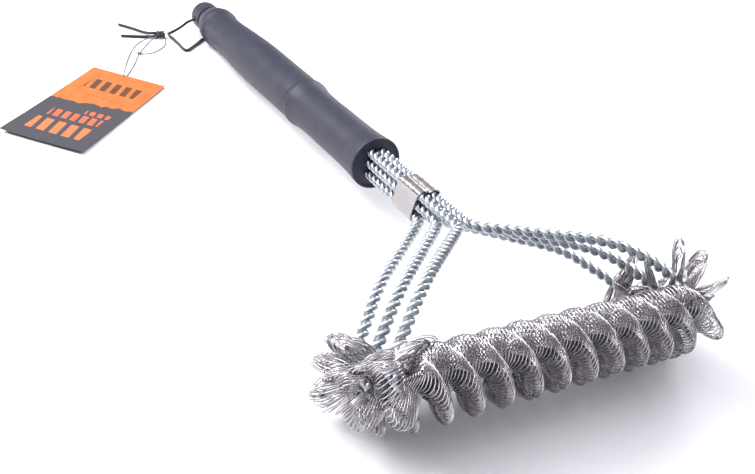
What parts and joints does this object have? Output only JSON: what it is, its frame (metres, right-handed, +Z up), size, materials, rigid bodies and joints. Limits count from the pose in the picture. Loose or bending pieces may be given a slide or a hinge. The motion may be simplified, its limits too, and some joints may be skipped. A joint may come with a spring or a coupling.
{
  "type": "grill cleaning brush",
  "caption": "Bristle-free grill brush: coil springs wound on twisted wire frames, clamped stems, a moulded handle, and a hanging lace with a swing card.",
  "frame": {"origin": "on the table under the middle of the brush's box, cords left out", "axes": "+Z up from the table, +Y towards the handle's rear end, +X across the head"},
  "size_m": [0.2717, 0.4602, 0.0605],
  "materials": {
    "grip": "finely textured dark grey moulding",
    "plate": "smooth dark moulding",
    "clamp": "polished stainless sheet",
    "core_wire": "bright galvanised wire",
    "coil": "fine stainless spring wire",
    "lace": "woven black lace",
    "string": "thin grey string",
    "card": "printed swing card"
  },
  "bodies": {
    "root": {"grip_front": "grip", "grip_rear": "grip", "end_cap": "grip", "front_plate": "plate", "stem_block": "plate", "stem_clamp": "clamp", "core_wire_top_a": "core_wire", "core_wire_top_b": "core_wire", "coil_top": "coil", "core_wire_middle_a": "core_wire", "core_wire_middle_b": "core_wire", "coil_middle": "coil", "core_wire_low_a": "core_wire", "core_wire_low_b": "core_wire", "coil_low": "coil", "lace": "lace", "lace_knot": "lace", "lace_tail_a": "lace", "lace_tail_b": "lace", "tag_string_loop": "string", "tag_string_upper": "string", "tag_string_side": "string", "tag_string_knot": "string", "tag_card": "card"}
  },
  "joints": []
}
